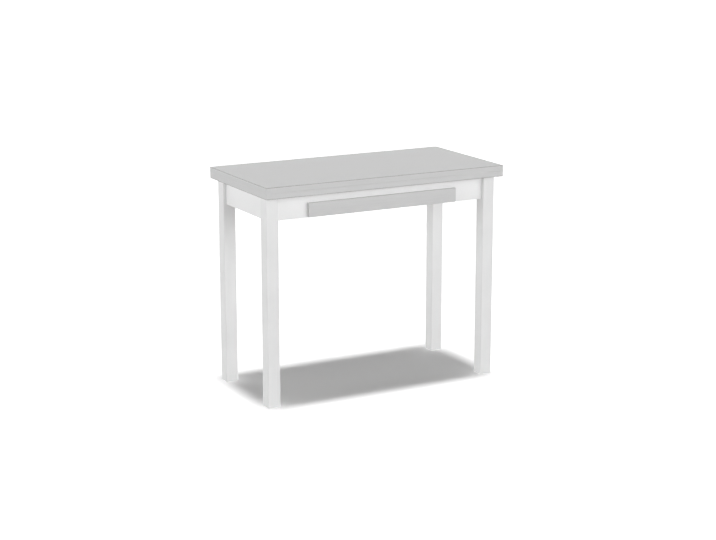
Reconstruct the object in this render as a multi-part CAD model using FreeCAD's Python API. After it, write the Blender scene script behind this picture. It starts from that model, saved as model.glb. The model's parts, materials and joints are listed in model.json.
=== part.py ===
import FreeCAD, Part
import math
import os
from collections import namedtuple

# Book-fold kitchen table, closed: two stacked leaves on a four-legged frame
# with a drawer. X runs along the length, the front is -Y, the floor is Z = 0.

Vector = FreeCAD.Vector
ALONG_X = Vector(1, 0, 0)
ALONG_Y = Vector(0, 1, 0)
UPWARD = Vector(0, 0, 1)

# Closed table
top_length = 900.0
top_width = 450.0
table_height = 750.0

# Leaves: each is a board core, two laminate sheets and an edging
leaf_thickness = 18.85
seam_gap = 0.3
laminate_thickness = 0.8
edging_thickness = 2.0
leaf_corner_radius = 3.0
leaf_end_overhang = 14.0
leaf_side_overhang = 33.0

# Leaf hinges, let into the inner faces along the back edge
hinge_count = 3
hinge_end_inset = 140.0
hinge_length = 60.0
hinge_depth = 30.0
hinge_sheet = 1.8
knuckle_radius = 3.0
knuckle_clearance = 0.35
knuckle_end_gap = 0.3
hinge_pin_radius = 1.5
hinge_screws_each = 3
hinge_screw_spacing = 20.0
hinge_screw_setback = 18.0

# Bumpers between the leaves, let into the upper one
bumper_radius = 6.0
bumper_recess = 2.0
bumper_edge_inset = 40.0
bumper_back_inset = 120.0
bumper_touch_gap = 0.05

# Legs of square tube, with a foot plug and a glide cap each
leg_size = 45.0
leg_wall = 1.5
leg_corner_radius = 4.0
foot_flange = 3.0
foot_plug_depth = 22.0
cap_flange = 3.0
cap_depth = 12.0
plug_wall = 2.5
plug_fit = 0.15
glide_gap = 0.3

# Aprons
apron_thickness = 18.0
apron_recess = 12.0
apron_height = 78.0
apron_top_gap = 4.0
apron_edge_radius = 1.5

# Angle brackets
bracket_sheet = 2.5
bracket_long_arm = 40.0
bracket_edge_gap = 1.0
bracket_height = 50.0
bracket_bolt_spacing = 26.0
bracket_bolt_stagger = 8.0
bracket_screw_from_corner = 26.0
batten_bracket_arm = 22.0
batten_bracket_height = 24.0

# Drawer
drawer_front_end_margin = 110.0
drawer_front_height = 48.0
drawer_front_thickness = 10.0
drawer_front_rise = 2.0
drawer_front_gap = 0.3
drawer_front_overlap = 8.0
drawer_notch_clearance = 3.0
drawer_box_rise = 8.0
drawer_box_height = 36.0
drawer_back_clearance = 22.3
drawer_box_wall = 12.0
drawer_bottom_thickness = 4.0
drawer_bottom_rise = 4.0
drawer_groove_depth = 5.0
drawer_groove_fit = 0.1
dowel_radius = 4.0
dowel_length = 22.0
dowel_in_front = 6.0
dowel_in_side = 8.0

# Roller runners
runner_space = 12.5
runner_sheet = 1.2
runner_flange_reach = 9.0
runner_bottom_flange = 10.0
runner_screw_inset = 4.5
runner_channel_rise = 4.0
runner_flange_gap = 0.7
runner_front_setback = 2.0
roller_radius = 8.0
roller_width = 5.5
roller_web_gap = 1.0
roller_running_gap = 0.1
roller_headroom = 0.6
roller_end_distance = 12.0
roller_flange_clearance = 4.0
channel_end_gap = 2.0
rivet_radius = 2.0
rivet_head_radius = 3.5
rivet_head_height = 1.0
batten_thickness = 18.0
batten_height = 34.0
batten_rise = 5.0

# Swivel of the top: plate and stud on the lower leaf, bush in a channel rail
pivot_plate_radius = 45.0
pivot_plate_thickness = 3.0
pivot_stud_radius = 6.0
pivot_bush_wall = 2.0
pivot_bush_pin_room = 3.0
pivot_bush_flange = 2.0
pivot_face_gap = 0.1
pivot_washer_radius = 12.0
pivot_washer_thickness = 2.0
pivot_nut_across_flats = 18.0
pivot_nut_height = 10.0
pivot_stud_past_nut = 1.0
pivot_screw_radius = 37.0
pivot_screw_count = 4
stop_radius = 28.0
stop_pin_angle = -90.0
stop_pin_radius = 3.0
stop_pin_head_radius = 5.0
stop_pin_head_height = 2.0
stop_slot_gap = 0.3
stop_pin_plate_gap = 0.6
turn_angle = 90.0
rail_width = 50.0
rail_depth = 23.0
rail_sheet = 2.5
rail_screw_spacing = 30.0

# Fasteners and their fits
Fastener = namedtuple("Fastener", "head_radius head_height shank_radius length")
wood_screw = Fastener(head_radius=3.8, head_height=1.6, shank_radius=1.75, length=13.0)
leg_bolt = Fastener(head_radius=3.5, head_height=2.5, shank_radius=2.0, length=10.0)
flat_screw = Fastener(head_radius=3.2, head_height=1.6, shank_radius=1.6, length=12.0)
fastener_clearance = 0.05
running_clearance = 0.05

# Levels and planes that several pieces share
underside_z = table_height - 2 * leaf_thickness - seam_gap
hinge_z = underside_z + leaf_thickness + seam_gap / 2
hinge_y = top_width / 2
leg_outer_x = top_length / 2 - leaf_end_overhang
leg_outer_y = top_width / 2 - leaf_side_overhang
leg_inner_x = leg_outer_x - leg_size
leg_inner_y = leg_outer_y - leg_size
apron_outer_x = leg_outer_x - apron_recess
apron_outer_y = leg_outer_y - apron_recess
apron_inner_x = apron_outer_x - apron_thickness
apron_inner_y = apron_outer_y - apron_thickness
apron_top_z = underside_z - apron_top_gap
tube_top_z = underside_z - glide_gap - cap_flange
apron_underside_z = apron_top_z - apron_height
bracket_z = (apron_underside_z + apron_top_z) / 2
bracket_short_arm = leg_size - apron_recess - apron_thickness - bracket_edge_gap
drawer_front_half = leg_inner_x - drawer_front_end_margin
notch_half = drawer_front_half - drawer_front_overlap
box_half = notch_half - drawer_notch_clearance - runner_flange_reach
box_bottom_z = apron_underside_z + drawer_box_rise
box_top_z = box_bottom_z + drawer_box_height
box_front_y = -apron_outer_y - drawer_front_gap
box_back_y = apron_inner_y - drawer_back_clearance
box_depth = box_back_y - box_front_y
batten_inner_x = box_half + runner_space
channel_floor_z = box_bottom_z + runner_channel_rise
channel_roof_z = channel_floor_z + 2 * roller_radius + roller_headroom
track_z = channel_roof_z + runner_sheet + runner_flange_gap
pivot_x = top_width / 4
pivot_y = top_width / 4
pivot_plate_z = underside_z - pivot_plate_thickness
rail_top_z = pivot_plate_z - pivot_face_gap - pivot_bush_flange

CORNERS = (
    ("front_left", -1, -1),
    ("front_right", 1, -1),
    ("back_left", -1, 1),
    ("back_right", 1, 1),
)
SIDES = (("left", -1), ("right", 1))

pieces = {}
cutters = {}


def add(node, solid):
    pieces.setdefault(node, []).append(solid)


def cut(node, tool):
    cutters.setdefault(node, []).append(tool)


def bar(x1, x2, y1, y2, z1, z2):
    corner = Vector(min(x1, x2), min(y1, y2), min(z1, z2))
    return Part.makeBox(abs(x2 - x1), abs(y2 - y1), abs(z2 - z1), corner)


def rounded_bar(x1, x2, y1, y2, z1, z2, radius):
    solid = bar(x1, x2, y1, y2, z1, z2)
    upright = [edge for edge in solid.Edges if abs(edge.tangentAt(0).z) > 0.99]
    return solid.makeFillet(radius, upright)


def rod(start, direction, radius, length):
    return Part.makeCylinder(radius, length, start, direction)


def pan_fastener(kind, seat, direction):
    head = rod(seat - direction * kind.head_height, direction, kind.head_radius, kind.head_height)
    return head.fuse(rod(seat, direction, kind.shank_radius, kind.length)).removeSplitter()


def fasten(group, kind, seat, direction, through):
    """Add a pan-head fastener seated at a point, and drill what it passes through."""
    add(group, pan_fastener(kind, seat, direction))
    hole = rod(seat, direction, kind.shank_radius + fastener_clearance, kind.length + fastener_clearance)
    for node in through:
        cut(node, hole)


def flat_head_shape(kind, seat, direction, clearance):
    head = Part.makeCone(
        kind.head_radius + clearance, kind.shank_radius + clearance, kind.head_height, seat, direction
    )
    shank = rod(seat, direction, kind.shank_radius + clearance, kind.length + clearance)
    return head.fuse(shank).removeSplitter()


def fasten_flush(group, kind, seat, direction, through):
    """Add a countersunk fastener flush with a face, and sink what it passes through."""
    add(group, flat_head_shape(kind, seat, direction, 0))
    for node in through:
        cut(node, flat_head_shape(kind, seat, direction, fastener_clearance))


def make_leaf(leaf, outer_sheet, outer_z, inner_z):
    """One board of the top, from its outer face to the face it is folded on."""
    inward = math.copysign(1, inner_z - outer_z)
    under_outer_z = outer_z + inward * laminate_thickness
    under_inner_z = inner_z - inward * laminate_thickness
    end = top_length / 2
    front = -top_width / 2
    back = hinge_y - seam_gap / 2
    inset_end = end - edging_thickness
    inset_front = front + edging_thickness
    inset_back = back - edging_thickness
    radius = leaf_corner_radius
    add(outer_sheet, rounded_bar(-end, end, front, back, outer_z, under_outer_z, radius))
    add(leaf + "_core", bar(-inset_end, inset_end, inset_front, inset_back, under_outer_z, under_inner_z))
    add(leaf + "_laminate_inner", bar(-inset_end, inset_end, inset_front, inset_back, under_inner_z, inner_z))
    outline = rounded_bar(-end, end, front, back, under_outer_z, inner_z, radius)
    inside = bar(-inset_end, inset_end, inset_front, inset_back, under_outer_z, inner_z)
    add(leaf + "_edging", outline.cut(inside))


def knuckle_spans(hinge_x):
    """X ranges of a hinge's three knuckles, with running gaps between them."""
    pitch = (hinge_length + knuckle_end_gap) / 3
    start = hinge_x - hinge_length / 2
    return [(start + i * pitch, start + (i + 1) * pitch - knuckle_end_gap) for i in range(3)]


def hinge_rod(x1, x2, radius):
    return rod(Vector(x1, hinge_y, hinge_z), ALONG_X, radius, x2 - x1)


def make_hinge_half(half, side, hinge_x, own_spans, other_spans):
    """A hinge plate let into one leaf; side is -1 for the lower leaf and 1 for the upper."""
    node = "hinge_plates_" + half
    inner_z = hinge_z + side * seam_gap / 2
    sunk_z = inner_z + side * hinge_sheet
    end = hinge_length / 2
    plate = bar(hinge_x - end, hinge_x + end, hinge_y - hinge_depth, hinge_y, inner_z, sunk_z)
    for x1, x2 in other_spans:
        room = hinge_rod(x1 - knuckle_end_gap, x2 + knuckle_end_gap, knuckle_radius + knuckle_clearance)
        plate = plate.cut(room)
    for x1, x2 in own_spans:
        plate = plate.fuse(hinge_rod(x1, x2, knuckle_radius))
    bore = hinge_rod(hinge_x - hinge_length, hinge_x + hinge_length, hinge_pin_radius + running_clearance)
    add(node, plate.cut(bore).removeSplitter())

    leaf = half + "_leaf"
    recess = bar(
        hinge_x - end - fastener_clearance,
        hinge_x + end + fastener_clearance,
        hinge_y - hinge_depth - fastener_clearance,
        hinge_y,
        inner_z,
        sunk_z + side * fastener_clearance,
    )
    barrel_room = hinge_rod(
        hinge_x - end - knuckle_clearance,
        hinge_x + end + knuckle_clearance,
        knuckle_radius + knuckle_clearance,
    )
    for layer in ("_core", "_laminate_inner", "_edging"):
        cut(leaf + layer, recess)
        cut(leaf + layer, barrel_room)

    first_x = hinge_x - (hinge_screws_each - 1) / 2 * hinge_screw_spacing
    for i in range(hinge_screws_each):
        seat = Vector(first_x + i * hinge_screw_spacing, hinge_y - hinge_screw_setback, inner_z)
        fasten_flush("hinge_screws_" + half, flat_screw, seat, UPWARD * side, (node, leaf + "_core"))


def make_hinges():
    first_x = -top_length / 2 + hinge_end_inset
    spacing = -2 * first_x / (hinge_count - 1)
    for i in range(hinge_count):
        hinge_x = first_x + i * spacing
        left, middle, right = knuckle_spans(hinge_x)
        make_hinge_half("lower", -1, hinge_x, (left, right), (middle,))
        make_hinge_half("upper", 1, hinge_x, (middle,), (left, right))
        add("hinge_pins", hinge_rod(left[0], right[1], hinge_pin_radius))


def make_bumpers():
    inner_z = hinge_z + seam_gap / 2
    front_y = -top_width / 2 + bumper_edge_inset
    back_y = hinge_y - bumper_back_inset
    for y in (front_y, back_y):
        for side in (-1, 1):
            x = side * (top_length / 2 - bumper_edge_inset)
            tip = Vector(x, y, hinge_z - seam_gap / 2 + bumper_touch_gap)
            height = seam_gap - bumper_touch_gap + bumper_recess
            add("leaf_bumpers", rod(tip, UPWARD, bumper_radius, height))
            socket = rod(Vector(x, y, inner_z), UPWARD, bumper_radius + fastener_clearance, bumper_recess)
            cut("upper_leaf_core", socket)
            cut("upper_leaf_laminate_inner", socket)


def around_pivot(radius, angle, z):
    turn = math.radians(angle)
    return Vector(pivot_x + radius * math.cos(turn), pivot_y + radius * math.sin(turn), z)


def stop_slot():
    """Curved slot through the swivel plate, in which the stop pin travels."""
    half_width = stop_pin_radius + stop_slot_gap
    centre = Vector(pivot_x, pivot_y, pivot_plate_z)
    ring = Part.makeCylinder(stop_radius + half_width, pivot_plate_thickness, centre, UPWARD, turn_angle)
    core = rod(centre, UPWARD, stop_radius - half_width, pivot_plate_thickness)
    slot = ring.cut(core)
    slot.rotate(centre, UPWARD, stop_pin_angle - turn_angle)
    for angle in (stop_pin_angle - turn_angle, stop_pin_angle):
        end = rod(around_pivot(stop_radius, angle, pivot_plate_z), UPWARD, half_width, pivot_plate_thickness)
        slot = slot.fuse(end)
    return slot


def make_swivel():
    """Plate, stud, washer and nut that turn with the top, and the bush they turn in."""
    web_under_z = rail_top_z - rail_sheet
    washer_top_z = web_under_z - pivot_face_gap
    nut_top_z = washer_top_z - pivot_washer_thickness
    stud_end_z = nut_top_z - pivot_nut_height - pivot_stud_past_nut
    centre = Vector(pivot_x, pivot_y, pivot_plate_z)
    plate = rod(centre, UPWARD, pivot_plate_radius, pivot_plate_thickness)
    stud = rod(Vector(pivot_x, pivot_y, stud_end_z), UPWARD, pivot_stud_radius, pivot_plate_z - stud_end_z)
    add("pivot_plate", plate.cut(stop_slot()).fuse(stud).removeSplitter())
    free_angle = 360 - turn_angle
    for i in range(pivot_screw_count):
        angle = stop_pin_angle + free_angle * (i + 0.5) / pivot_screw_count
        seat = around_pivot(pivot_screw_radius, angle, pivot_plate_z)
        layers = ("pivot_plate", "lower_leaf_laminate_under", "lower_leaf_core")
        fasten_flush("pivot_plate_screws", flat_screw, seat, UPWARD, layers)

    bore_radius = pivot_stud_radius + running_clearance
    sleeve_radius = bore_radius + pivot_bush_wall
    sleeve = rod(Vector(pivot_x, pivot_y, web_under_z), UPWARD, sleeve_radius, rail_sheet)
    flange_radius = stop_radius - stop_pin_radius - pivot_bush_pin_room
    flange = rod(Vector(pivot_x, pivot_y, rail_top_z), UPWARD, flange_radius, pivot_bush_flange)
    bore = rod(Vector(pivot_x, pivot_y, stud_end_z), UPWARD, bore_radius, pivot_plate_z - stud_end_z)
    add("pivot_bush", sleeve.fuse(flange).cut(bore).removeSplitter())
    bush_hole_radius = sleeve_radius + fastener_clearance
    cut("pivot_rail", rod(Vector(pivot_x, pivot_y, web_under_z), UPWARD, bush_hole_radius, rail_sheet))

    washer_base = Vector(pivot_x, pivot_y, nut_top_z)
    washer = rod(washer_base, UPWARD, pivot_washer_radius, pivot_washer_thickness)
    add("pivot_washer", washer.cut(bore))
    corner_radius = pivot_nut_across_flats / math.sqrt(3)
    nut_base_z = nut_top_z - pivot_nut_height
    corners = [around_pivot(corner_radius, 60 * i, nut_base_z) for i in range(6)]
    hexagon = Part.Face(Part.makePolygon(corners + corners[:1]))
    add("pivot_nut", hexagon.extrude(UPWARD * pivot_nut_height).cut(bore))


def make_stop_pin():
    web_under_z = rail_top_z - rail_sheet
    foot = around_pivot(stop_radius, stop_pin_angle, web_under_z)
    tip_z = underside_z - stop_pin_plate_gap
    pin = rod(foot, UPWARD, stop_pin_radius, tip_z - web_under_z)
    head = rod(foot - UPWARD * stop_pin_head_height, UPWARD, stop_pin_head_radius, stop_pin_head_height)
    add("stop_pin", pin.fuse(head).removeSplitter())
    hole = rod(foot, UPWARD, stop_pin_radius + fastener_clearance, rail_sheet)
    cut("pivot_rail", hole)


def make_rail():
    """Channel rail, open below, between the front and back aprons, with welded end plates."""
    half = rail_width / 2
    bottom_z = rail_top_z - rail_depth
    end_y = apron_inner_y
    rail = bar(pivot_x - half, pivot_x + half, -end_y, end_y, bottom_z, rail_top_z)
    hollow = bar(
        pivot_x - half + rail_sheet,
        pivot_x + half - rail_sheet,
        -end_y + rail_sheet,
        end_y - rail_sheet,
        bottom_z,
        rail_top_z - rail_sheet,
    )
    add("pivot_rail", rail.cut(hollow))
    for apron, side in (("apron_front", -1), ("apron_back", 1)):
        for offset in (-rail_screw_spacing / 2, rail_screw_spacing / 2):
            seat = Vector(pivot_x + offset, side * (end_y - rail_sheet), (bottom_z + rail_top_z) / 2)
            fasten("wood_screws", wood_screw, seat, ALONG_Y * side, ("pivot_rail", apron))


def make_leg(corner, side_x, side_y):
    """A tube leg with its foot plug and glide cap."""
    outer_x = side_x * leg_outer_x
    outer_y = side_y * leg_outer_y
    inner_x = side_x * leg_inner_x
    inner_y = side_y * leg_inner_y

    def section(inset, z1, z2):
        radius = max(leg_corner_radius - inset, leg_wall)
        dx = side_x * inset
        dy = side_y * inset
        return rounded_bar(outer_x - dx, inner_x + dx, outer_y - dy, inner_y + dy, z1, z2, radius)

    tube = section(0, foot_flange, tube_top_z).cut(section(leg_wall, foot_flange, tube_top_z))
    add("leg_" + corner, tube)

    insert = leg_wall + plug_fit
    hollow = insert + plug_wall
    foot_top_z = foot_flange + foot_plug_depth
    foot = section(0, 0, foot_flange).fuse(section(insert, foot_flange, foot_top_z))
    add("foot_plug_" + corner, foot.cut(section(hollow, foot_flange, foot_top_z)).removeSplitter())

    cap_end_z = tube_top_z - cap_depth
    cap = section(0, tube_top_z, tube_top_z + cap_flange).fuse(section(insert, cap_end_z, tube_top_z))
    add("glide_caps", cap.cut(section(hollow, cap_end_z, tube_top_z)).removeSplitter())


def apron_board(x1, x2, y1, y2):
    """A board on edge, with its four long edges rounded."""
    board = bar(x1, x2, y1, y2, apron_underside_z, apron_top_z)
    run = max(abs(x2 - x1), abs(y2 - y1))
    long_edges = [edge for edge in board.Edges if abs(edge.Length - run) < apron_edge_radius]
    return board.makeFillet(apron_edge_radius, long_edges)


def make_aprons():
    front = apron_board(-leg_inner_x, leg_inner_x, -apron_outer_y, -apron_inner_y)
    notch_top_z = box_top_z + drawer_notch_clearance
    notch = bar(-notch_half, notch_half, -apron_outer_y, -apron_inner_y, apron_underside_z, notch_top_z)
    add("apron_front", front.cut(notch))
    add("apron_back", apron_board(-leg_inner_x, leg_inner_x, apron_inner_y, apron_outer_y))
    for name, side in SIDES:
        board = apron_board(side * apron_inner_x, side * apron_outer_x, -leg_inner_y, leg_inner_y)
        add("apron_" + name, board)


def angle_bracket(corner, toward_x, toward_y, reach_x, reach_y, height):
    """An L of sheet whose outer corner stands at a point; the arms reach along X and Y."""
    low = corner.z - height / 2
    high = corner.z + height / 2
    thick_x = toward_x * bracket_sheet
    thick_y = toward_y * bracket_sheet
    arm_x = bar(corner.x, corner.x + toward_x * reach_x, corner.y, corner.y + thick_y, low, high)
    arm_y = bar(corner.x, corner.x + thick_x, corner.y, corner.y + toward_y * reach_y, low, high)
    return arm_x.fuse(arm_y).removeSplitter()


def make_corner_brackets(corner, side_x, side_y):
    """Two angle brackets that tie a leg to its two aprons."""
    leg = "leg_" + corner
    long_apron = "apron_front" if side_y < 0 else "apron_back"
    end_apron = "apron_left" if side_x < 0 else "apron_right"
    bolt_from_corner = (bracket_sheet + bracket_short_arm) / 2
    heights = (-bracket_bolt_spacing / 2, bracket_bolt_spacing / 2)

    point = Vector(side_x * leg_inner_x, side_y * apron_inner_y, bracket_z)
    add(
        "corner_brackets",
        angle_bracket(point, -side_x, -side_y, bracket_long_arm, bracket_short_arm, bracket_height),
    )
    for rise in heights:
        bolt_z = bracket_z + rise - bracket_bolt_stagger / 2
        bolt_y = point.y - side_y * bolt_from_corner
        seat = Vector(point.x - side_x * bracket_sheet, bolt_y, bolt_z)
        fasten("bracket_bolts", leg_bolt, seat, ALONG_X * side_x, ("corner_brackets", leg))
        screw_x = point.x - side_x * bracket_screw_from_corner
        seat = Vector(screw_x, point.y - side_y * bracket_sheet, bracket_z + rise)
        fasten("wood_screws", wood_screw, seat, ALONG_Y * side_y, ("corner_brackets", long_apron))

    point = Vector(side_x * apron_inner_x, side_y * leg_inner_y, bracket_z)
    add(
        "corner_brackets",
        angle_bracket(point, -side_x, -side_y, bracket_short_arm, bracket_long_arm, bracket_height),
    )
    for rise in heights:
        bolt_z = bracket_z + rise + bracket_bolt_stagger / 2
        bolt_x = point.x - side_x * bolt_from_corner
        seat = Vector(bolt_x, point.y - side_y * bracket_sheet, bolt_z)
        fasten("bracket_bolts", leg_bolt, seat, ALONG_Y * side_y, ("corner_brackets", leg))
        screw_y = point.y - side_y * bracket_screw_from_corner
        seat = Vector(point.x - side_x * bracket_sheet, screw_y, bracket_z + rise)
        fasten("wood_screws", wood_screw, seat, ALONG_X * side_x, ("corner_brackets", end_apron))


def make_batten(name, side):
    """Wooden batten that carries a runner channel, held to the aprons by angle brackets."""
    node = "runner_batten_" + name
    inner_x = side * batten_inner_x
    outer_x = side * (batten_inner_x + batten_thickness)
    low = apron_underside_z + batten_rise
    add(node, bar(inner_x, outer_x, -apron_inner_y, apron_inner_y, low, low + batten_height))
    middle_z = low + batten_height / 2
    screw_reach = (bracket_sheet + batten_bracket_arm) / 2
    for apron, end in (("apron_front", -1), ("apron_back", 1)):
        point = Vector(outer_x, end * apron_inner_y, middle_z)
        arm = batten_bracket_arm
        add("batten_brackets", angle_bracket(point, side, -end, arm, arm, batten_bracket_height))
        seat = Vector(outer_x + side * bracket_sheet, point.y - end * screw_reach, middle_z)
        fasten("wood_screws", wood_screw, seat, ALONG_X * -side, ("batten_brackets", node))
        seat = Vector(outer_x + side * screw_reach, point.y - end * bracket_sheet, middle_z)
        fasten("wood_screws", wood_screw, seat, ALONG_Y * end, ("batten_brackets", apron))


def make_roller(node, inner_x, outer_x, y, z):
    base = Vector(min(inner_x, outer_x), y, z)
    roller = rod(base, ALONG_X, roller_radius, abs(outer_x - inner_x))
    bore = rod(base, ALONG_X, rivet_radius + running_clearance, abs(outer_x - inner_x))
    add(node, roller.cut(bore))


def make_rivet(node, back_x, front_x, y, z):
    """Axle rivet between two head seats: back_x behind the web, front_x beyond the roller."""
    away = math.copysign(1, front_x - back_x)
    direction = ALONG_X * away
    shank = rod(Vector(back_x, y, z), direction, rivet_radius, abs(front_x - back_x))
    back_head = rod(Vector(back_x, y, z), direction * -1, rivet_head_radius, rivet_head_height)
    front_head = rod(Vector(front_x, y, z), direction, rivet_head_radius, rivet_head_height)
    add(node, shank.fuse(back_head).fuse(front_head).removeSplitter())


def rivet_hole(back_x, away, y, z):
    return rod(Vector(back_x, y, z), ALONG_X * away, rivet_radius + fastener_clearance, runner_sheet)


def rivet_pocket(back_x, away, y, z):
    """Room for a rivet's back head in the wood that the web lies on."""
    seat = Vector(back_x, y, z)
    radius = rivet_head_radius + fastener_clearance
    return rod(seat, ALONG_X * -away, radius, rivet_head_height + fastener_clearance)


def make_channel(name, side):
    """Fixed half of a runner: a channel on the batten, with a roller at its front end."""
    node = "runner_channel_" + name
    batten = "runner_batten_" + name
    web_x = side * batten_inner_x
    face_x = side * (batten_inner_x - runner_sheet)
    tip_x = face_x - side * runner_flange_reach
    front_y = -apron_inner_y + runner_front_setback
    back_y = apron_inner_y - channel_end_gap
    roller_y = front_y + roller_end_distance
    roller_z = track_z - roller_radius - roller_running_gap
    roof_front_y = roller_y + roller_radius + roller_flange_clearance
    floor_z = channel_floor_z
    roof_z = channel_roof_z
    web = bar(web_x, face_x, front_y, back_y, floor_z - runner_sheet, roof_z + runner_sheet)
    floor = bar(face_x, tip_x, front_y, back_y, floor_z - runner_sheet, floor_z)
    roof = bar(face_x, tip_x, roof_front_y, back_y, roof_z, roof_z + runner_sheet)
    end_stop = bar(face_x, tip_x, back_y - runner_sheet, back_y, floor_z, roof_z)
    add(node, web.fuse([floor, roof, end_stop]).removeSplitter())

    roller_outer_x = face_x - side * roller_web_gap
    roller_inner_x = roller_outer_x - side * roller_width
    make_roller("channel_roller_" + name, roller_inner_x, roller_outer_x, roller_y, roller_z)
    make_rivet("channel_rivets", web_x, roller_inner_x - side * roller_running_gap, roller_y, roller_z)
    cut(node, rivet_hole(web_x, -side, roller_y, roller_z))
    cut(batten, rivet_pocket(web_x, -side, roller_y, roller_z))
    for y in (front_y + (back_y - front_y) / 4, back_y - (back_y - front_y) / 4):
        seat = Vector(face_x, y, (floor_z + roof_z) / 2)
        fasten("wood_screws", wood_screw, seat, ALONG_X * side, (node, batten))


def make_drawer_runner(name, side):
    """Sliding half of a runner under a drawer side, with a roller at its back end."""
    node = "drawer_runner_" + name
    board = "drawer_side_" + name
    board_x = side * box_half
    web_x = board_x + side * runner_sheet
    track_tip_x = board_x + side * runner_flange_reach
    shelf_tip_x = board_x - side * runner_bottom_flange
    front_y = box_front_y
    back_y = box_back_y
    low_z = box_bottom_z - runner_sheet
    web = bar(board_x, web_x, front_y, back_y, low_z, track_z + runner_sheet)
    track = bar(web_x, track_tip_x, front_y, back_y, track_z, track_z + runner_sheet)
    shelf = bar(board_x, shelf_tip_x, front_y, back_y, low_z, box_bottom_z)
    add(node, web.fuse([track, shelf]).removeSplitter())

    roller_y = back_y - roller_end_distance
    roller_z = channel_floor_z + roller_radius + roller_running_gap
    roller_inner_x = web_x + side * roller_web_gap
    roller_outer_x = roller_inner_x + side * roller_width
    make_roller("drawer_roller_" + name, roller_inner_x, roller_outer_x, roller_y, roller_z)
    make_rivet("runner_rivets", board_x, roller_outer_x + side * roller_running_gap, roller_y, roller_z)
    cut(node, rivet_hole(board_x, side, roller_y, roller_z))
    cut(board, rivet_pocket(board_x, side, roller_y, roller_z))
    screw_x = board_x - side * runner_screw_inset
    for y in (front_y + box_depth / 4, back_y - box_depth / 4):
        fasten("drawer_screws", wood_screw, Vector(screw_x, y, low_z), UPWARD, (node, board))


def make_drawer_front():
    """Overlay front: board core, face laminate and an edging round it."""
    half = drawer_front_half
    low = apron_underside_z + drawer_front_rise
    high = low + drawer_front_height
    face_y = box_front_y - drawer_front_thickness
    sheet_y = face_y + laminate_thickness
    edge = edging_thickness
    add("drawer_front_laminate", bar(-half, half, face_y, sheet_y, low, high))
    core = bar(-half + edge, half - edge, sheet_y, box_front_y, low + edge, high - edge)
    add("drawer_front_core", core)
    add("drawer_front_edging", bar(-half, half, sheet_y, box_front_y, low, high).cut(core))


def add_dowel(start, direction, through):
    add("drawer_dowels", rod(start, direction, dowel_radius, dowel_length))
    overshoot = start - direction * fastener_clearance
    socket_length = dowel_length + 2 * fastener_clearance
    socket = rod(overshoot, direction, dowel_radius + fastener_clearance, socket_length)
    for node in through:
        cut(node, socket)


def make_drawer_box():
    wall = drawer_box_wall
    inner_half = box_half - wall
    back_front_y = box_back_y - wall
    floor_z = box_bottom_z + drawer_bottom_rise
    floor_top_z = floor_z + drawer_bottom_thickness
    add("drawer_back", bar(-inner_half, inner_half, back_front_y, box_back_y, box_bottom_z, box_top_z))
    panel_half = inner_half + drawer_groove_depth
    panel_back_y = back_front_y + drawer_groove_depth
    add("drawer_bottom", bar(-panel_half, panel_half, box_front_y, panel_back_y, floor_z, floor_top_z))
    fit = drawer_groove_fit
    groove = bar(
        -panel_half - fit, panel_half + fit, box_front_y, panel_back_y + fit, floor_z - fit, floor_top_z + fit
    )
    cut("drawer_back", groove)
    middle_z = (floor_top_z + box_top_z) / 2
    for name, side in SIDES:
        node = "drawer_side_" + name
        add(node, bar(side * inner_half, side * box_half, box_front_y, box_back_y, box_bottom_z, box_top_z))
        cut(node, groove)
        board_middle_x = side * (box_half - wall / 2)
        start = Vector(board_middle_x, box_front_y - dowel_in_front, middle_z)
        add_dowel(start, ALONG_Y, ("drawer_front_core", node))
        start = Vector(side * (inner_half + dowel_in_side), box_back_y - wall / 2, middle_z)
        add_dowel(start, ALONG_X * -side, (node, "drawer_back"))


def make_table():
    make_leaf("lower_leaf", "lower_leaf_laminate_under", underside_z, hinge_z - seam_gap / 2)
    make_leaf("upper_leaf", "upper_leaf_laminate_top", table_height, hinge_z + seam_gap / 2)
    make_hinges()
    make_bumpers()
    make_swivel()
    make_stop_pin()
    make_rail()
    make_aprons()
    for corner, side_x, side_y in CORNERS:
        make_leg(corner, side_x, side_y)
        make_corner_brackets(corner, side_x, side_y)
    make_drawer_front()
    make_drawer_box()
    for name, side in SIDES:
        make_batten(name, side)
        make_channel(name, side)
        make_drawer_runner(name, side)


def finished(node):
    """A node's solids with everything that was drilled or recessed in them."""
    solids = []
    for solid in pieces[node]:
        for tool in cutters.get(node, []):
            if solid.BoundBox.intersect(tool.BoundBox):
                solid = solid.cut(tool)
        solids.extend(solid.Solids)
    return solids


make_table()
os.makedirs("parts", exist_ok=True)
for node in pieces:
    solids = finished(node)
    shape = solids[0] if len(solids) == 1 else Part.makeCompound(solids)
    shape.exportStep("parts/" + node + ".step")
    print(node, len(solids), round(shape.Volume, 1), shape.isValid())
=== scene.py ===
"""A folding kitchen table: its finishes and small details, the floor, the light and the camera.

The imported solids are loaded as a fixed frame, and everything here is in metres in that frame:
x along the table, y from the drawer towards the back, z up from the floor.
"""

import json
import math

import bmesh
import bpy
from mathutils import Matrix, Vector


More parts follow.
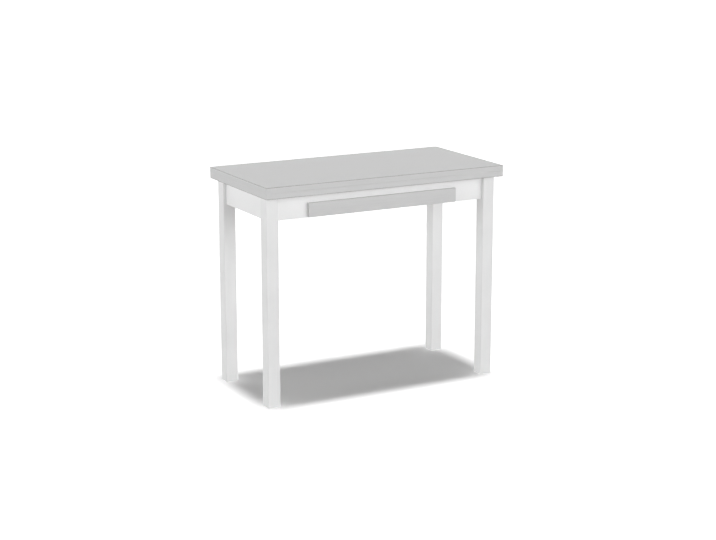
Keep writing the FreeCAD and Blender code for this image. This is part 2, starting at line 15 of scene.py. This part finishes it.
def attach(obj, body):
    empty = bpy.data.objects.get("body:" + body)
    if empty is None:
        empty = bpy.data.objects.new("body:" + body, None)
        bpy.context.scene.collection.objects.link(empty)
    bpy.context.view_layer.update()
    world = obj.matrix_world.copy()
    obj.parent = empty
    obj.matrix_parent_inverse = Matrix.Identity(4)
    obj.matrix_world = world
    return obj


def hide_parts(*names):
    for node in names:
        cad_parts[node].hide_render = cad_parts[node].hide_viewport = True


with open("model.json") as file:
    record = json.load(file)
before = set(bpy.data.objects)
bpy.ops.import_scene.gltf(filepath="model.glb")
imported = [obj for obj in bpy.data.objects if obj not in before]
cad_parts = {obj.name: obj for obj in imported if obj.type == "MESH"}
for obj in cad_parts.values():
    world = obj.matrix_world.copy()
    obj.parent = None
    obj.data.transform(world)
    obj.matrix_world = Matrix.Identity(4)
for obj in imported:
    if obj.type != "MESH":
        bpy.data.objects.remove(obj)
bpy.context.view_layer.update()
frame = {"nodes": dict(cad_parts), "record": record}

slots = {}
for subpart in frame["record"]["subparts"]:
    slots[subpart["node"]] = subpart["material_slot"]
body_of_node = {}
for body, nodes in frame["record"]["behaviour"]["bodies"].items():
    for node in nodes:
        body_of_node[node] = body

mm = 0.001

# How far hard edges are rounded off, by node: on boards, battens and pressings only the straight
# edges, so that the rims of their holes stay sharp, and on the rest all of them.
panel_easing = 0.25 * mm
metal_easing = 0.3 * mm
moulding_easing = 0.6 * mm
rivet_easing = 0.7 * mm
wood_easing = 1.0 * mm
eased_boards = {
    "drawer_back": panel_easing,
    "drawer_side_left": panel_easing,
    "drawer_side_right": panel_easing,
    "runner_batten_left": wood_easing,
    "runner_batten_right": wood_easing,
    "corner_brackets": metal_easing,
    "batten_brackets": metal_easing,
    "pivot_rail": metal_easing,
}
eased_mouldings = {
    "upper_leaf_edging": panel_easing,
    "lower_leaf_edging": panel_easing,
    "drawer_front_edging": panel_easing,
    "pivot_plate": metal_easing,
    "pivot_nut": metal_easing,
    "glide_caps": moulding_easing,
    "foot_plug_front_left": moulding_easing,
    "foot_plug_front_right": moulding_easing,
    "foot_plug_back_left": moulding_easing,
    "foot_plug_back_right": moulding_easing,
    "channel_rivets": rivet_easing,
    "runner_rivets": rivet_easing,
}
straight_edge = 2.0 * mm
any_edge = 0.0
easing_segments = 2
weld_distance = 0.01 * mm
flat_angle = math.radians(0.2)
hard_angle = math.radians(40)

# Drives in the heads of screws and bolts. A recess is drawn in towards its floor, by the share given.
# The rims of the heads are rounded, but not those of countersunk ones.
pan_head_screws = ("wood_screws", "drawer_screws")
countersunk_screws = ("hinge_screws_lower", "hinge_screws_upper", "pivot_plate_screws")
socket_bolts = ("bracket_bolts",)
cross_arm = 2.0 * mm
cross_half_width = 0.5 * mm
cross_depth = 1.4 * mm
cross_draw = 0.5
socket_corner = 1.75 * mm
socket_depth = 1.6 * mm
socket_draw = 0.95
recess_overshoot = 0.2 * mm
pan_head_rounding = 0.8 * mm
bolt_head_rounding = 0.4 * mm

# How high the legs are scuffed.
scuff_height = 0.12

# Picture and camera; the camera's angles are in radians.
picture_width = 716
focal_length_pixels = 1715.2
sensor_width = 36.0
camera_spot = (-2.7464, -5.1025, 1.7746)
camera_turn = 0.4944
camera_dip = 0.2356

# Light: a lamp overhead, which casts the shadow on the floor, weak fills round the table, a pale room
# that is brightest low down, and a floor that glows evenly. To the eye the floor is plain white, with
# the shadow on it. A lamp's spread, its rise above the floor and its turn round the table, from the
# front towards the right, are in degrees. The room's band of light ends where the upward part of the
# direction reaches its top.
overhead = {"strength": 1.93, "spread": 8.0, "rise": 89.4, "turn": 0.0}
fills = {
    "front_fill": {"strength": 1.35, "spread": 40.0, "rise": 12.0, "turn": 35.0},
    "right_fill": {"strength": 0.9, "spread": 30.0, "rise": 6.0, "turn": 96.0},
    "back_fill": {"strength": 0.9, "spread": 30.0, "rise": 6.0, "turn": 180.0},
    "left_fill": {"strength": 1.05, "spread": 30.0, "rise": 6.0, "turn": -84.0},
}
room_strength = 2.8
room_band_top = 0.4
floor_size = 80.0
floor_grey = 0.1
floor_glow = 0.47
floor_seen_grey = 1.57


def plain_grey(value):
    """A shader colour from one linear value."""
    return (value, value, value, 1.0)


def linear(level):
    """Turns a display level from 0 to 255 into a shader's linear value, by the sRGB curve."""
    share = level / 255
    if share <= 0.04045:
        return share / 12.92
    return ((share + 0.055) / 1.055) ** 2.4


def colour(red, green=None, blue=None):
    """A shader colour from display levels; one level alone is a grey."""
    if green is None:
        return plain_grey(linear(red))
    return (linear(red), linear(green), linear(blue), 1.0)


class Shading:
    """The node tree of a material or a world, with short ways to add nodes to it."""

    def __init__(self, owner):
        owner.use_nodes = True
        self.tree = owner.node_tree

    def feed(self, socket, value):
        """Links a socket to another node's output, or sets it to a plain value."""
        if isinstance(value, bpy.types.NodeSocket):
            self.tree.links.new(value, socket)
        else:
            socket.default_value = value

    def node(self, kind, settings=(), inputs=()):
        """Adds a node; settings are its own properties and inputs go to its sockets."""
        made = self.tree.nodes.new(kind)
        for name, value in dict(settings).items():
            setattr(made, name, value)
        for name, value in dict(inputs).items():
            self.feed(made.inputs[name], value)
        return made

    def maths(self, operation, first, second=0.0):
        """The result of an operation on one or two values."""
        inputs = {0: first, 1: second}
        return self.node("ShaderNodeMath", {"operation": operation}, inputs).outputs["Value"]

    def span(self, value, low, high, start=0.25, end=0.75):
        """Maps value from start..end to low..high, and holds it there beyond."""
        inputs = {"Value": value, "From Min": start, "From Max": end, "To Min": low, "To Max": high}
        return self.node("ShaderNodeMapRange", (), inputs).outputs["Result"]

    def choose(self, share, first, second):
        """Goes from the first shader to the second as share goes from 0 to 1."""
        inputs = {0: share, 1: first, 2: second}
        return self.node("ShaderNodeMixShader", (), inputs).outputs["Shader"]

    def seen_rays(self):
        """1 for what is looked at, straight, in a reflection or through glass, and 0 for light."""
        rays = self.node("ShaderNodeLightPath").outputs
        direct = self.maths("MAXIMUM", rays["Is Camera Ray"], rays["Is Glossy Ray"])
        return self.maths("MAXIMUM", direct, rays["Is Transmission Ray"])


class Finish(Shading):
    """The material of a piece, in the coordinates of the object that carries it."""

    def __init__(self, name):
        self.material = bpy.data.materials.new(name)
        super().__init__(self.material)
        self.shader = self.tree.nodes["Principled BSDF"]
        self.place = self.node("ShaderNodeTexCoord").outputs["Object"]
        self.geometry = self.node("ShaderNodeNewGeometry")

    def noise(self, scale, stretch=(1, 1, 1), detail=2.0):
        """Noise from 0 to 1 with about scale cells a metre, drawn out where stretch is small."""
        spread = self.node("ShaderNodeMapping", (), {"Vector": self.place, "Scale": stretch})
        inputs = {"Vector": spread.outputs["Vector"], "Scale": scale, "Detail": detail}
        return self.node("ShaderNodeTexNoise", (), inputs).outputs["Fac"]

    def cells(self, scale, stretch=(1, 1, 1)):
        """A random value from 0 to 1 for each cell of a broken pattern, such as flakes."""
        spread = self.node("ShaderNodeMapping", (), {"Vector": self.place, "Scale": stretch})
        inputs = {"Vector": spread.outputs["Vector"], "Scale": scale}
        cell = self.node("ShaderNodeTexVoronoi", (), inputs)
        return self.node("ShaderNodeSeparateColor", (), {"Color": cell.outputs["Color"]}).outputs["Red"]

    def mix(self, share, first, second):
        """Goes from the first colour to the second as share goes from 0 to 1.

        The node has sockets of one name for each kind of data, so the colours' go by number.
        """
        inputs = {0: share, 6: first, 7: second}
        return self.node("ShaderNodeMix", {"data_type": "RGBA"}, inputs).outputs[2]

    def over(self, paint, tint, mask, share=1.0, start=0.25, end=0.75):
        """Lays a tint over the paint as a mask goes from start to end, up to the share given."""
        return self.mix(self.span(mask, 0.0, share, start, end), paint, tint)

    def edges(self, radius):
        """A mask that is 1 on a hard edge and fades to 0 within radius of it."""
        rounded = self.node("ShaderNodeBevel", {"samples": 4}, {"Radius": radius})
        inputs = {0: rounded.outputs["Normal"], 1: self.geometry.outputs["Normal"]}
        alike = self.node("ShaderNodeVectorMath", {"operation": "DOT_PRODUCT"}, inputs)
        return self.span(alike.outputs["Value"], 1.0, 0.0, start=0.75, end=0.98)

    def edge_wear_and_highlight(self, paint, wear_and_highlight_colour, radius, share):
        """Lays a patchy colour over the paint along the edges: wear on some finishes, and a painted
        highlight on others.
        """
        patches = self.span(self.noise(60.0, detail=4.0), 0.0, share, start=0.4, end=0.65)
        return self.mix(self.maths("MULTIPLY", self.edges(radius), patches), paint, wear_and_highlight_colour)

    def cut_sides(self, face_axis):
        """A mask that is 1 on a sheet's cut sides, and 0 on its faces, which lie across an axis."""
        turned = self.node(
            "ShaderNodeVectorTransform",
            {"vector_type": "NORMAL", "convert_from": "WORLD", "convert_to": "OBJECT"},
            {"Vector": self.geometry.outputs["Normal"]},
        )
        parts = self.node("ShaderNodeSeparateXYZ", (), {"Vector": turned.outputs["Vector"]})
        facing = self.maths("ABSOLUTE", parts.outputs[face_axis])
        return self.span(facing, 1.0, 0.0, start=0.4, end=0.6)

    def paint(self, value):
        """Gives the surface its colour."""
        self.feed(self.shader.inputs["Base Color"], value)

    def roughness(self, mask, low, high, start=0.25, end=0.75):
        """Lets the roughness go from low to high as a mask goes from start to end."""
        self.feed(self.shader.inputs["Roughness"], self.span(mask, low, high, start, end))

    def bump(self, height, depth):
        """Raises the surface by up to depth metres where height is 1."""
        made = self.node("ShaderNodeBump", (), {"Height": height, "Distance": depth, "Strength": 1.0})
        self.feed(self.shader.inputs["Normal"], made.outputs["Normal"])

    def set(self, name, value):
        """Sets one of the shader's plain values."""
        self.shader.inputs[name].default_value = value


grain_along_x = (0.02, 1, 1)
grain_along_y = (1, 0.02, 1)
y_axis = 1
z_axis = 2


def laminate(name, level, face_axis):
    """Matt sheet laminate with a faint lengthwise grain; its cut edge shows the dark core."""
    finish = Finish(name)
    grain = finish.noise(260.0, grain_along_x, detail=3.0)
    speckle = finish.noise(1300.0, detail=1.0)
    clouds = finish.noise(7.0)
    paint = finish.over(colour(level - 3), colour(level + 3), grain)
    paint = finish.over(paint, colour(level - 7), speckle, share=0.5, start=0.35, end=0.65)
    paint = finish.over(paint, colour(level + 4), clouds, share=0.5)
    core = finish.mix(finish.noise(900.0), colour(58, 50, 45), colour(92, 82, 74))
    finish.paint(finish.mix(finish.cut_sides(face_axis), paint, core))
    finish.roughness(clouds, 0.52, 0.62)
    finish.bump(finish.maths("ADD", speckle, grain), 0.03 * mm)
    finish.set("Specular IOR Level", 0.3)
    return finish.material


def edging(name, level):
    """Extruded plastic strip, with fine lines along it and a patchy painted highlight on its edges."""
    finish = Finish(name)
    lines = finish.noise(900.0, grain_along_x)
    clouds = finish.noise(14.0, detail=3.0)
    paint = finish.over(colour(level - 4), colour(level + 2), lines)
    paint = finish.over(paint, colour(level + 4), clouds, share=0.5)
    # Paler along the edges: a patchy painted highlight.
    finish.paint(finish.edge_wear_and_highlight(paint, colour(level + 22), radius=1.5 * mm, share=0.6))
    finish.roughness(clouds, 0.36, 0.48)
    finish.bump(lines, 0.02 * mm)
    finish.set("Specular IOR Level", 0.4)
    return finish.material


def powder_coat(name, level):
    """Satin baked coating with its orange-peel skin, a patchy painted highlight along the edges, and
    scuffed low down.
    """
    finish = Finish(name)
    peel = finish.noise(700.0, detail=1.5)
    clouds = finish.noise(9.0, detail=3.0)
    paint = finish.over(colour(level - 4), colour(level + 2), clouds)
    height = finish.node("ShaderNodeSeparateXYZ", (), {"Vector": finish.place}).outputs["Z"]
    low_down = finish.span(height, 1.0, 0.0, start=0.0, end=scuff_height)
    scratches = finish.noise(260.0, (1, 1, 0.5), detail=5.0)
    scuffs = finish.span(scratches, 0.0, 0.35, start=0.58, end=0.72)
    paint = finish.mix(finish.maths("MULTIPLY", low_down, scuffs), paint, colour(level - 14))
    # Paler along the edges: a patchy painted highlight.
    finish.paint(finish.edge_wear_and_highlight(paint, colour(level + 10), radius=3.0 * mm, share=0.6))
    finish.roughness(clouds, 0.34, 0.46)
    finish.bump(peel, 0.05 * mm)
    finish.set("Specular IOR Level", 0.45)
    return finish.material


def melamine(name, level):
    """Pearl-textured board face, with a patchy painted highlight along its edges."""
    finish = Finish(name)
    pearl = finish.noise(520.0)
    clouds = finish.noise(6.0)
    paint = finish.over(colour(level - 3), colour(level + 2), clouds)
    paint = finish.over(paint, colour(level - 8), pearl, share=0.4, start=0.45, end=0.7)
    # Paler along the edges: a patchy painted highlight.
    finish.paint(finish.edge_wear_and_highlight(paint, colour(level + 9), radius=2.5 * mm, share=0.8))
    finish.roughness(pearl, 0.42, 0.54)
    finish.bump(pearl, 0.04 * mm)
    finish.set("Specular IOR Level", 0.4)
    return finish.material


def moulded(name, dark, pale, roughness):
    """Moulded plastic: slight mottling, a fine eroded skin and paler edges."""
    finish = Finish(name)
    skin = finish.noise(1600.0, detail=1.0)
    mottle = finish.noise(80.0, detail=3.0)
    paler_edge = tuple(min(1.0, part * 1.15) for part in pale[:3]) + (1.0,)
    paint = finish.over(dark, pale, mottle)
    finish.paint(finish.edge_wear_and_highlight(paint, paler_edge, radius=1.0 * mm, share=0.5))
    finish.roughness(mottle, roughness - 0.06, roughness + 0.06)
    finish.bump(skin, 0.02 * mm)
    return finish.material


def zinc(name):
    """Zinc-plated steel: clouded bright plating, fine rolling lines, edges rubbed brighter."""
    finish = Finish(name)
    clouds = finish.noise(70.0, detail=4.0)
    lines = finish.noise(900.0, grain_along_x)
    paint = finish.over(colour(182, 184, 187), colour(200, 201, 200), clouds)
    finish.paint(finish.edge_wear_and_highlight(paint, colour(222), radius=0.8 * mm, share=0.8))
    finish.roughness(finish.maths("ADD", clouds, lines), 0.3, 0.42, start=0.7, end=1.3)
    finish.bump(lines, 0.01 * mm)
    finish.set("Metallic", 1.0)
    return finish.material


def painted_steel(name, level, roughness):
    """Stove-enamelled pressed steel, with bare metal showing at rubbed edges."""
    finish = Finish(name)
    peel = finish.noise(900.0, detail=1.0)
    clouds = finish.noise(40.0, detail=3.0)
    paint = finish.over(colour(level - 4), colour(level + 4), clouds)
    finish.paint(finish.edge_wear_and_highlight(paint, colour(150), radius=0.8 * mm, share=0.5))
    finish.roughness(clouds, roughness - 0.06, roughness + 0.06)
    finish.bump(peel, 0.03 * mm)
    return finish.material


def softwood(name, stretch):
    """Planed softwood with long growth rings and a few darker streaks."""
    finish = Finish(name)
    rings = finish.noise(190.0, stretch, detail=3.0)
    streaks = finish.noise(700.0, stretch)
    paint = finish.over(colour(196, 164, 122), colour(222, 196, 158), rings)
    paint = finish.over(paint, colour(164, 126, 86), streaks, share=0.6, start=0.5, end=0.72)
    finish.paint(finish.edge_wear_and_highlight(paint, colour(232, 212, 180), radius=1.5 * mm, share=0.6))
    finish.roughness(streaks, 0.55, 0.7)
    finish.bump(streaks, 0.06 * mm)
    return finish.material


def foil_board(name, level):
    """Board wrapped in pale foil with a faint printed grain."""
    finish = Finish(name)
    grain = finish.noise(330.0, grain_along_y, detail=3.0)
    paint = finish.over(colour(level - 6), colour(level + 3), grain)
    finish.paint(finish.edge_wear_and_highlight(paint, colour(level + 12), radius=1.5 * mm, share=0.7))
    finish.roughness(grain, 0.42, 0.5)
    finish.bump(grain, 0.02 * mm)
    return finish.material


def lacquered_board(name, level):
    """White lacquered hardboard, whose matted fibres show through the thin coat; brown where cut."""
    finish = Finish(name)
    fibres = finish.noise(420.0, (0.25, 1, 1), detail=5.0)
    clouds = finish.noise(25.0, detail=3.0)
    paint = finish.over(colour(level - 7), colour(level + 3), fibres)
    paint = finish.over(paint, colour(level + 5), clouds, share=0.5)
    board = finish.over(colour(122, 92, 66), colour(158, 124, 92), fibres)
    finish.paint(finish.mix(finish.cut_sides(z_axis), paint, board))
    finish.roughness(fibres, 0.4, 0.55)
    finish.bump(fibres, 0.05 * mm)
    return finish.material


def chipboard(name):
    """Pressed chips of mixed tone, rough and matt."""
    finish = Finish(name)
    chips = finish.cells(260.0, (0.4, 1, 1.6))
    dust = finish.noise(900.0)
    paint = finish.mix(chips, colour(158, 122, 82), colour(214, 182, 138))
    finish.paint(finish.over(paint, colour(118, 88, 58), dust, share=0.5))
    finish.roughness(dust, 0.75, 0.9)
    finish.bump(finish.maths("ADD", chips, dust), 0.2 * mm)
    return finish.material


# The finish of each material slot in the record.
finishes = {
    "white_powder_coat": powder_coat("white_powder_coat", level=227),
    "white_plastic": moulded("white_plastic", colour(222), colour(230), roughness=0.4),
    "white_melamine": melamine("white_melamine", level=235),
    "zinc_steel": zinc("zinc_steel"),
    "white_coated_steel": painted_steel("white_coated_steel", level=226, roughness=0.36),
    "black_painted_steel": painted_steel("black_painted_steel", level=34, roughness=0.42),
    "nylon": moulded("nylon", colour(218, 214, 202), colour(230, 227, 216), roughness=0.46),
    "plain_wood": softwood("plain_wood", grain_along_y),
    "drawer_board": foil_board("drawer_board", level=222),
    "hardboard": lacquered_board("hardboard", level=226),
    "chipboard": chipboard("chipboard"),
    "grey_laminate": laminate("grey_laminate", level=193, face_axis=z_axis),
    "backing_laminate": laminate("backing_laminate", level=188, face_axis=z_axis),
    # The edging is painted lighter than the grey laminate on top, as painted light: it covers upright
    # sides, which get less light, so that they render as bright as the top.
    "grey_edging": edging("grey_edging", level=199),
    "soft_rubber": moulded("soft_rubber", colour(160), colour(174), roughness=0.7),
}
# Nodes that differ from their slot: the upright sheet's cut edges lie on other sides than those of a
# level one, and the board behind it is sealed, because its back shows when the drawer is out.
own_finishes = {
    # The upright sheet is a lighter copy of the top's laminate, as painted light: its face gets less
    # light, and so it renders as bright as the top.
    "drawer_front_laminate": laminate("grey_laminate_upright", level=199, face_axis=y_axis),
    "drawer_front_core": melamine("sealed_board", level=216),
}


def finish_of(node):
    """The finish of a node: its own, or else its slot's."""
    return own_finishes.get(node, finishes[slots[node]])


def dress(piece, finish):
    """Puts one finish in all of a piece's material slots."""
    if not piece.material_slots:
        piece.data.materials.append(finish)
    for place in piece.material_slots:
        place.material = finish


def welded(node):
    """A copy of a node's mesh, with each flat side made one face."""
    shape = bmesh.new()
    shape.from_mesh(frame["nodes"][node].data)
    bmesh.ops.remove_doubles(shape, verts=shape.verts, dist=weld_distance)
    bmesh.ops.dissolve_limit(shape, angle_limit=flat_angle, verts=shape.verts, edges=shape.edges)
    return shape


def round_off(shape, edges, width):
    """Rounds some edges of a mesh off by width."""
    bmesh.ops.bevel(
        shape,
        geom=edges,
        offset=width,
        offset_type="OFFSET",
        segments=easing_segments,
        profile=0.5,
        affect="EDGES",
        clamp_overlap=True,
    )


def mesh_object(name, shape):
    """Makes an object of a mesh under construction."""
    mesh = bpy.data.meshes.new(name)
    shape.to_mesh(mesh)
    shape.free()
    piece = bpy.data.objects.new(name, mesh)
    bpy.context.collection.objects.link(piece)
    return piece


def stand_in(piece, node):
    """Lets a piece take a node's place, with the node's body, slot and finish."""
    piece.data.shade_smooth()
    piece.data.set_sharp_from_angle(angle=hard_angle)
    weighted = piece.modifiers.new("even_faces", "WEIGHTED_NORMAL")
    weighted.keep_sharp = True
    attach(piece, body_of_node[node])
    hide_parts(node)
    dress(piece, finish_of(node))


def eased(node, width, shortest):
    """Stands a copy of a node in its place, with its longer hard edges rounded off by width."""
    shape = welded(node)
    hard = [edge for edge in shape.edges if edge.calc_face_angle(0.0) > hard_angle]
    round_off(shape, [edge for edge in hard if edge.calc_length() > shortest], width)
    stand_in(mesh_object(node + "_eased", shape), node)


def separate_solids(shape):
    """Lists the vertices of each separate solid in a mesh."""
    for vert in shape.verts:
        vert.tag = False
    solids = []
    for start in shape.verts:
        if start.tag:
            continue
        start.tag = True
        solid = [start]
        for vert in solid:
            for edge in vert.link_edges:
                neighbour = edge.other_vert(vert)
                if not neighbour.tag:
                    neighbour.tag = True
                    solid.append(neighbour)
        solids.append(solid)
    return solids


def head_of(solid):
    """The middle of a fastener's head, the way that it faces, and the vertices of its face."""
    low = Vector([min(vert.co[axis] for vert in solid) for axis in range(3)])
    high = Vector([max(vert.co[axis] for vert in solid) for axis in range(3)])
    size = high - low
    longest = max(range(3), key=lambda axis: size[axis])
    along = Vector((0, 0, 0))
    along[longest] = 1
    ends = []
    for facing in (along, -along):
        middle = (low + high) / 2 + facing * size[longest] / 2
        face = [vert for vert in solid if abs((vert.co - middle).dot(along)) < weld_distance]
        reach = max((vert.co - middle).length for vert in face)
        ends.append((reach, middle, facing, face))
    return max(ends, key=lambda end: end[0])[1:]


def cross_outline():
    """The corners of a cross, in order round it."""
    arm = (
        Vector((cross_arm, -cross_half_width)),
        Vector((cross_arm, cross_half_width)),
        Vector((cross_half_width, cross_half_width)),
    )
    corners = []
    for quarter in range(4):
        turn = Matrix.Rotation(quarter * math.pi / 2, 2)
        corners += [turn @ corner for corner in arm]
    return corners


def hexagon_outline():
    """The corners of a hexagon, in order round it."""
    corner = Vector((socket_corner, 0))
    return [Matrix.Rotation(side * math.pi / 3, 2) @ corner for side in range(6)]


def add_recess(shape, outline, depth, draw, head, facing):
    """Adds the block that a drive takes out of a head, from just outside its face."""
    turn = facing.to_track_quat("Z", "Y")
    rings = []
    for height, share in ((recess_overshoot, 1.0), (-depth, draw)):
        places = [Vector((corner.x * share, corner.y * share, height)) for corner in outline]
        rings.append([shape.verts.new(head + turn @ place) for place in places])
    mouth, base = rings
    shape.faces.new(mouth)
    shape.faces.new(reversed(base))
    for i in range(len(outline)):
        j = (i + 1) % len(outline)
        shape.faces.new((base[i], base[j], mouth[j], mouth[i]))


def cut_away(piece, cutter):
    """Takes the cutter's shape out of a piece, and deletes the cutter."""
    cutting = piece.modifiers.new("recesses", "BOOLEAN")
    cutting.operation = "DIFFERENCE"
    cutting.solver = "EXACT"
    cutting.object = cutter
    plain = piece.data
    evaluated = piece.evaluated_get(bpy.context.evaluated_depsgraph_get())
    piece.data = bpy.data.meshes.new_from_object(evaluated)
    piece.modifiers.remove(cutting)
    bpy.data.meshes.remove(plain)
    bpy.data.meshes.remove(cutter.data)


def driven(node, outline, depth, draw, rounding=0.0):
    """Stands a copy of a group of fasteners in its place, with a drive in each head."""
    shape = welded(node)
    recesses = bmesh.new()
    rims = []
    for solid in separate_solids(shape):
        head, facing, face = head_of(solid)
        add_recess(recesses, outline, depth, draw, head, facing)
        ring = set(face)
        rims += [edge for edge in shape.edges if edge.verts[0] in ring and edge.verts[1] in ring]
    if rounding:
        round_off(shape, rims, rounding)
    piece = mesh_object(node + "_driven", shape)
    cut_away(piece, mesh_object("recesses", recesses))
    stand_in(piece, node)


for node, solid in frame["nodes"].items():
    dress(solid, finish_of(node))
for node, width in eased_boards.items():
    eased(node, width, straight_edge)
for node, width in eased_mouldings.items():
    eased(node, width, any_edge)
for node in pan_head_screws:
    driven(node, cross_outline(), cross_depth, cross_draw, pan_head_rounding)
for node in countersunk_screws:
    driven(node, cross_outline(), cross_depth, cross_draw)
for node in socket_bolts:
    driven(node, hexagon_outline(), socket_depth, socket_draw, bolt_head_rounding)


def floor_material():
    """Matt and paler than white to the eye, so that the lit floor runs into the background, plain
    white in reflections, and a dim glow as a light."""
    material = bpy.data.materials.new("floor")
    shading = Shading(material)
    nodes = shading.tree.nodes
    nodes.remove(nodes["Principled BSDF"])
    matt = shading.node("ShaderNodeBsdfDiffuse", (), {"Color": plain_grey(floor_grey)})
    glow = shading.node("ShaderNodeEmission", (), {"Strength": floor_glow})
    lit = shading.node("ShaderNodeAddShader", (), {0: matt.outputs["BSDF"], 1: glow.outputs["Emission"]})
    seen = shading.node("ShaderNodeBsdfDiffuse", (), {"Color": plain_grey(floor_seen_grey)})
    mirrored = shading.node("ShaderNodeEmission", (), {"Strength": 1.0})
    straight = shading.node("ShaderNodeLightPath").outputs["Is Camera Ray"]
    look = shading.choose(straight, mirrored.outputs["Emission"], seen.outputs["BSDF"])
    surface = shading.choose(shading.seen_rays(), lit.outputs["Shader"], look)
    shading.feed(nodes["Material Output"].inputs["Surface"], surface)
    return material


def make_floor():
    """A plain white floor that keeps the shadow."""
    shape = bmesh.new()
    bmesh.ops.create_grid(shape, x_segments=1, y_segments=1, size=floor_size / 2)
    floor = mesh_object("floor", shape)
    floor.data.materials.append(floor_material())
    return floor


def make_room():
    """A pale room: plain white to look at, and brightest low down as a light."""
    world = bpy.data.worlds.new("room")
    bpy.context.scene.world = world
    shading = Shading(world)
    nodes = shading.tree.nodes
    plain = nodes["Background"]
    shading.feed(plain.inputs["Color"], plain_grey(1.0))
    shading.feed(plain.inputs["Strength"], 1.0)
    direction = shading.node("ShaderNodeTexCoord").outputs["Generated"]
    upward = shading.node("ShaderNodeSeparateXYZ", (), {"Vector": direction}).outputs["Z"]
    band = shading.span(upward, room_strength, 0.0, start=0.0, end=room_band_top)
    lit = shading.node("ShaderNodeBackground", (), {"Color": plain_grey(1.0), "Strength": band})
    surface = shading.choose(shading.seen_rays(), lit.outputs["Background"], plain.outputs["Background"])
    shading.feed(nodes["World Output"].inputs["Surface"], surface)


def make_lamp(name, strength, spread, rise, turn):
    """A far lamp, aimed at the table; its angles are in degrees."""
    lamp = bpy.data.lights.new(name, "SUN")
    lamp.energy = strength
    lamp.angle = math.radians(spread)
    holder = bpy.data.objects.new(name, lamp)
    holder.rotation_euler = (math.radians(90 - rise), 0, math.radians(turn))
    bpy.context.collection.objects.link(holder)
    return holder


def all_but(piece):
    """What a lamp lights that leaves out one piece."""
    receivers = bpy.data.collections.new("all_but_" + piece.name)
    receivers.objects.link(piece)
    receivers.collection_objects[0].light_linking.link_state = "EXCLUDE"
    return receivers


def make_lights(floor):
    """The overhead lamp, and the fills, which leave out the floor, so that they add no shadows to it,
    and reflections, because a low lamp would glare on the top."""
    make_lamp("overhead", **overhead)
    off_floor = all_but(floor)
    for name, settings in fills.items():
        fill = make_lamp(name, **settings)
        fill.visible_glossy = False
        fill.light_linking.receiver_collection = off_floor


def make_camera():
    """The camera that took the picture."""
    lens = bpy.data.cameras.new("camera")
    lens.sensor_fit = "HORIZONTAL"
    lens.sensor_width = sensor_width
    lens.lens = focal_length_pixels * sensor_width / picture_width
    camera = bpy.data.objects.new("camera", lens)
    camera.location = camera_spot
    camera.rotation_euler = (math.pi / 2 - camera_dip, 0, -camera_turn)
    bpy.context.collection.objects.link(camera)
    bpy.context.scene.camera = camera


make_lights(make_floor())
make_room()
make_camera()
bpy.context.scene.view_settings.view_transform = "Standard"
